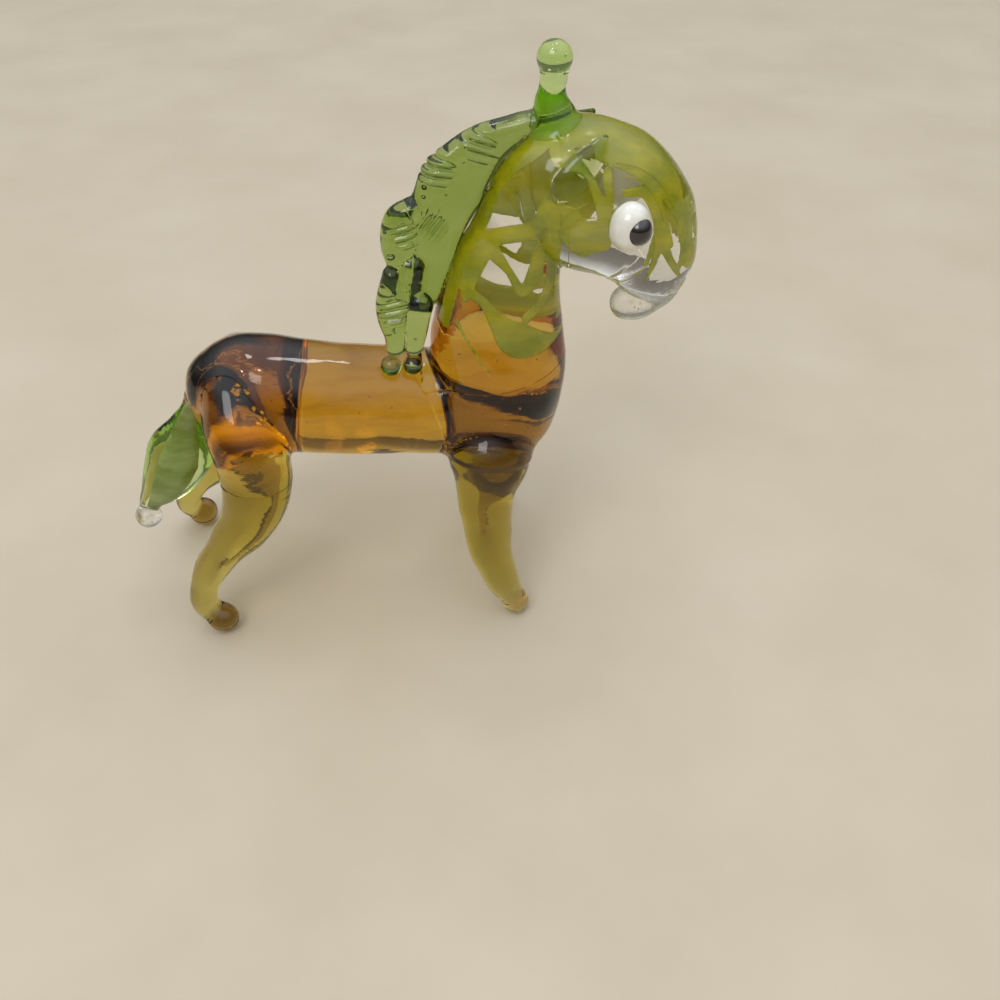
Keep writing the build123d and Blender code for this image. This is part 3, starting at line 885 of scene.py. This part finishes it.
for word, side in SIDES:
    stifle = plane((0, 0, STIFLE), (0.1, 0, 1))
    node_gather("hind_thigh_" + word, "hind_" + word, [over(stifle)], BODY_MESH, AMBER, "amber")
    node_gather("hind_shank_" + word, "hind_" + word, [stifle], FINE_MESH, OLIVE, "olive")
    node_gather("foreleg_" + word, "fore_" + word, [], FINE_MESH, OLIVE, "olive")
    for node, material, slot in (("hind_foot_" + word, DARK_OLIVE, "olive_foot"),
                                 ("front_foot_" + word, GOLD, "gold_foot")):
        shape_gather(node, BEAD_MESH, material, slot)
    shape_gather("ear_" + word, BEAD_MESH, GREEN, "green")
    white, black = "eye_white_" + word, "pupil_" + word
    coloured(white, eye_bead(white, side, EYE_STANDS, 0.45), WHITE, "white")
    coloured(black, eye_bead(black, side, EYE_STANDS, 0.1, 1.12), BLACK, "black")

for node in SHAPES:
    if node.startswith("mane"):
        shape_gather(node, FINE_MESH, GREEN, "green")
shape_gather("forelock", BEAD_MESH, PALE_GREEN, "pale_green")
shape_gather("forelock_bead", BEAD_MESH, PALE_GREEN, "pale_green")
shape = SHAPES["tail"]
coloured("tail_casing", gather("tail_casing_glass", "tail", shape.low, shape.high, (), FINE_MESH),
         TAIL_GREEN, "pale_green")
shape_gather("tail_bead", BEAD_MESH, FROSTED, "frosted")


# ---------------------------------------------------------------- the yellow-green veins

# Places (x, z, radius) from the head's middle.
NECK_VEINS = [
    [(-20.7, -15.8, 0.4), (-18.9, -9.7, 0.5), (-17.0, -3.8, 0.6), (-14.4, 1.6, 0.6), (-10.6, 4.9, 0.7),
     (-6.3, 8.0, 0.7)],
    [(-18.7, -13.6, 0.6), (-17.1, -8.3, 0.6), (-15.1, -3.7, 0.8), (-13.5, -0.4, 0.7), (-11.9, 2.8, 0.4),
     (-9.8, 5.2, 0.5), (-8.1, 6.8, 0.7)],
    [(-16.4, -9.8, 0.6), (-15.3, -6.2, 1.1), (-13.7, -3.5, 1.1), (-11.6, -1.9, 0.7), (-8.7, -1.0, 1.0),
     (-7.5, 1.9, 0.7)],
    [(-11.0, 3.0, 0.2), (-10.7, 1.2, 0.2), (-9.9, 0.9, 0.2), (-9.1, 2.3, 0.2), (-8.7, 3.7, 0.2)],
    [(-13.1, -4.4, 1.0), (-11.6, -6.2, 0.6), (-10.1, -8.6, 0.8), (-8.8, -7.0, 1.1), (-8.0, -4.1, 0.9)],
    [(-15.0, -4.4, 1.0), (-13.0, -3.3, 0.6), (-11.1, -2.8, 0.5), (-8.7, -2.2, 0.7)],
    [(-16.1, -8.8, 0.8), (-14.2, -10.1, 0.8), (-12.5, -12.6, 1.4), (-10.7, -14.4, 2.2), (-8.5, -15.3, 1.6),
     (-6.7, -15.6, 0.8), (-5.4, -15.5, 0.5)],
    [(-9.6, -11.9, 0.8), (-7.7, -10.1, 0.8), (-6.8, -7.4, 0.8), (-6.9, -2.2, 0.7), (-7.1, 1.5, 0.7)],
    [(-6.4, 2.0, 0.4), (-5.9, -4.5, 0.4), (-5.4, -10.5, 0.5), (-5.8, -13.5, 0.5)],
]
HEAD_VEINS = [
    [(-6.0, 7.8, 1.1), (-2.5, 7.9, 1.1), (0.6, 7.0, 1.3), (3.5, 5.1, 1.4), (5.9, 2.2, 1.3), (7.3, -1.4, 0.7),
     (8.1, -4.8, 0.6), (7.9, -7.1, 0.5)],
    [(-6.0, 6.5, 1.4), (-3.8, 5.2, 0.6), (-2.6, 3.3, 0.7), (-1.7, 0.5, 0.8), (-1.3, -2.5, 0.9)],
    [(-2.5, 6.6, 0.6), (-0.4, 5.9, 0.7), (2.0, 4.5, 0.5), (3.9, 2.3, 0.6), (5.1, -0.7, 0.7), (6.3, -3.6, 0.5)],
    [(-1.4, 5.0, 0.7), (-1.2, 2.6, 0.6), (-0.9, -0.2, 0.5)],
    [(-6.3, 1.6, 0.5), (-5.2, 1.0, 1.1), (-4.3, -1.4, 1.9), (-3.4, -3.2, 1.1)],
    [(-2.7, -0.7, 1.4), (-2.3, -2.5, 1.2)],
    [(0.5, 3.1, 0.5), (2.8, 2.7, 0.7), (4.0, 0.1, 0.5), (4.5, -2.4, 0.6)],
    [(4.8, -2.7, 0.7), (4.7, -5.3, 0.6), (4.3, -8.2, 0.3), (4.0, -9.9, 0.1)],
    [(5.1, -2.5, 0.9), (6.3, -5.0, 0.6), (7.7, -7.4, 0.5), (8.8, -9.3, 0.1)],
    [(7.9, 0.2, 0.7), (8.7, -3.0, 0.5), (8.9, -6.0, 0.5)],
]


VEIL_DEPTH = 0.75        # under the skin of the clear gather, mm
VEIL_HALF = 0.17         # half its thickness
VEIN_SHRINK = 0.16       # how much narrower each vein is than its stations say
VEIN_FLOW = 0.3
VEIL_MESH = 0.17


class Veil:
    """Thin coloured glass just under the skin of the clear gather, where its veins run on both sides."""

    def __init__(self, veins):
        self.veins = [Rod([(HEAD[0] + x, 0.0, HEAD[2] + z, r) for x, z, r in vein]) for vein in veins]
        reach = np.array([0, high("head_casing")[1], 0])
        self.low = np.min([v.low for v in self.veins], 0) - reach
        self.high = np.max([v.high for v in self.veins], 0) + reach

    def __call__(self, p):
        flat = p * np.array([1.0, 0.0, 1.0])
        vein = self.veins[0](flat)
        for other in self.veins[1:]:
            vein = flowed(vein, other(flat), VEIN_FLOW)
        depth = np.abs(SHAPES["arch"](p) + VEIL_DEPTH) - VEIL_HALF
        u, v = depth + VEIL_HALF, vein + VEIL_HALF + VEIN_SHRINK
        return np.minimum(np.maximum(u, v), 0) + np.hypot(np.maximum(u, 0), np.maximum(v, 0)) - VEIL_HALF


for node, veins in (("neck_strands", NECK_VEINS), ("head_strands", HEAD_VEINS)):
    veil = Veil(veins)
    coloured(node, bead(node, veil, veil.low, veil.high, VEIL_MESH), STRAND, "strand")


def on_skin(run, x, z, side, depth):
    """The point under the skin of a gather at a place in the profile, on one side of the horse."""
    inner, outer = 0.0, 12.0
    for _ in range(24):
        y = (inner + outer) / 2
        if SHAPES[run](np.array([[x, side * y, z]]))[0] < -depth:
            inner = y
        else:
            outer = y
    return x, side * inner, z


THREADS = [  # hair-fine threads pulled between the veins: (x, z, width) from the head's middle
    [(-17.5, -12.4, 1.6), (-16.6, -14.2, 1.2), (-15.6, -15.8, 1.1), (-14.8, -17.3, 0.9), (-13.9, -18.7, 0.5)],
    [(-19.6, -12.8, 0.8), (-18.0, -8.0, 1.0), (-16.3, -4.2, 1.0), (-14.3, -0.4, 0.8), (-12.4, 2.4, 0.5)],
    [(-18.6, -10.2, 0.5), (-17.0, -5.9, 0.8), (-15.0, -1.6, 0.8), (-12.6, 2.0, 0.7), (-9.9, 4.6, 0.4)],
    [(-12.9, 1.6, 0.5), (-11.6, 3.2, 0.7), (-10.1, 4.2, 0.5)],
    [(-5.9, 0.6, 0.6), (-4.7, 1.8, 0.7), (-3.2, 2.4, 0.4)],
    [(-5.8, -0.6, 0.6), (-4.2, 0.6, 0.7), (-2.6, 0.9, 0.4)],
    [(0.6, 4.7, 0.6), (2.7, 3.6, 0.8), (4.3, 1.6, 0.6), (5.2, -0.6, 0.4)],
    [(-0.4, 5.9, 0.5), (2.4, 5.0, 0.8), (4.9, 2.9, 0.7), (6.6, -0.2, 0.5), (7.4, -3.6, 0.4)],
]
THREAD_DEPTH = 0.45
THREAD_RADIUS = 0.13


def threads():
    points, widths, edges = [], [], []
    for line in THREADS:
        fine = resampled([(x, z, w, 0.0) for x, z, w in line])
        for side in (-1.0, 1.0):
            start = len(points)
            for x, z, w, _ in fine:
                points.append(on_skin("arch", HEAD[0] + x, HEAD[2] + z, side, THREAD_DEPTH))
                widths.append(w)
            edges += [(i, i + 1) for i in range(start, len(points) - 1)]
    return grown("neck_threads_glass", thread_tree(), points, widths, edges,
                 Thickness=THREAD_RADIUS * MM, Sides=8, Glass=STRAND)


BUBBLES = [  # air caught in the mane: (x, y, z, radius) from the head's middle
    (-20.5, -0.9, 2.3, 0.32), (-20.6, -0.8, 1.2, 0.24), (-25.0, -0.9, -2.7, 0.22), (-24.6, -0.9, -5.6, 0.42),
    (-18.2, -0.8, 1.4, 0.15), (-16.2, -0.7, 4.9, 0.14), (-24.9, -2.2, -14.6, 0.18), (-22.5, -2.6, -15.4, 0.15),
]
SEEDS = [  # swarms of fine seed bubbles: node, how many, share of the box that they fill
    ("muzzle_curl", 26, 0.45), ("tail_bead", 22, 0.5), ("chest", 34, 0.55), ("forelock_bead", 5, 0.5),
    ("torso", 16, 0.6), ("mane_lobe_lower", 10, 0.5), ("hind_thigh_right", 8, 0.4),
]
SEED_RADIUS = (0.05, 0.13)


def bubbles():
    rng = np.random.default_rng(11)
    points = [HEAD + np.array(b[:3]) for b in BUBBLES]
    widths = [b[3] for b in BUBBLES]
    for node, count, fill in SEEDS:
        half = fill * (high(node) - low(node)) / 2
        points += list(middle(node) + half * rng.uniform(-1, 1, (count, 3)))
        widths += list(rng.uniform(*SEED_RADIUS, count))
    return grown("air_bubbles", bubble_tree(), points, widths, [], Size=MM, Glass=AIR)


finish_piece(threads(), STRAND, "strand")
finish_piece(bubbles(), AIR, "clear")

for node, material in (("tail_ribbon", RIBBON), ("mane_drops", GREEN)):
    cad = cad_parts[node]
    cad.data.materials.clear()
    cad.data.materials.append(material)
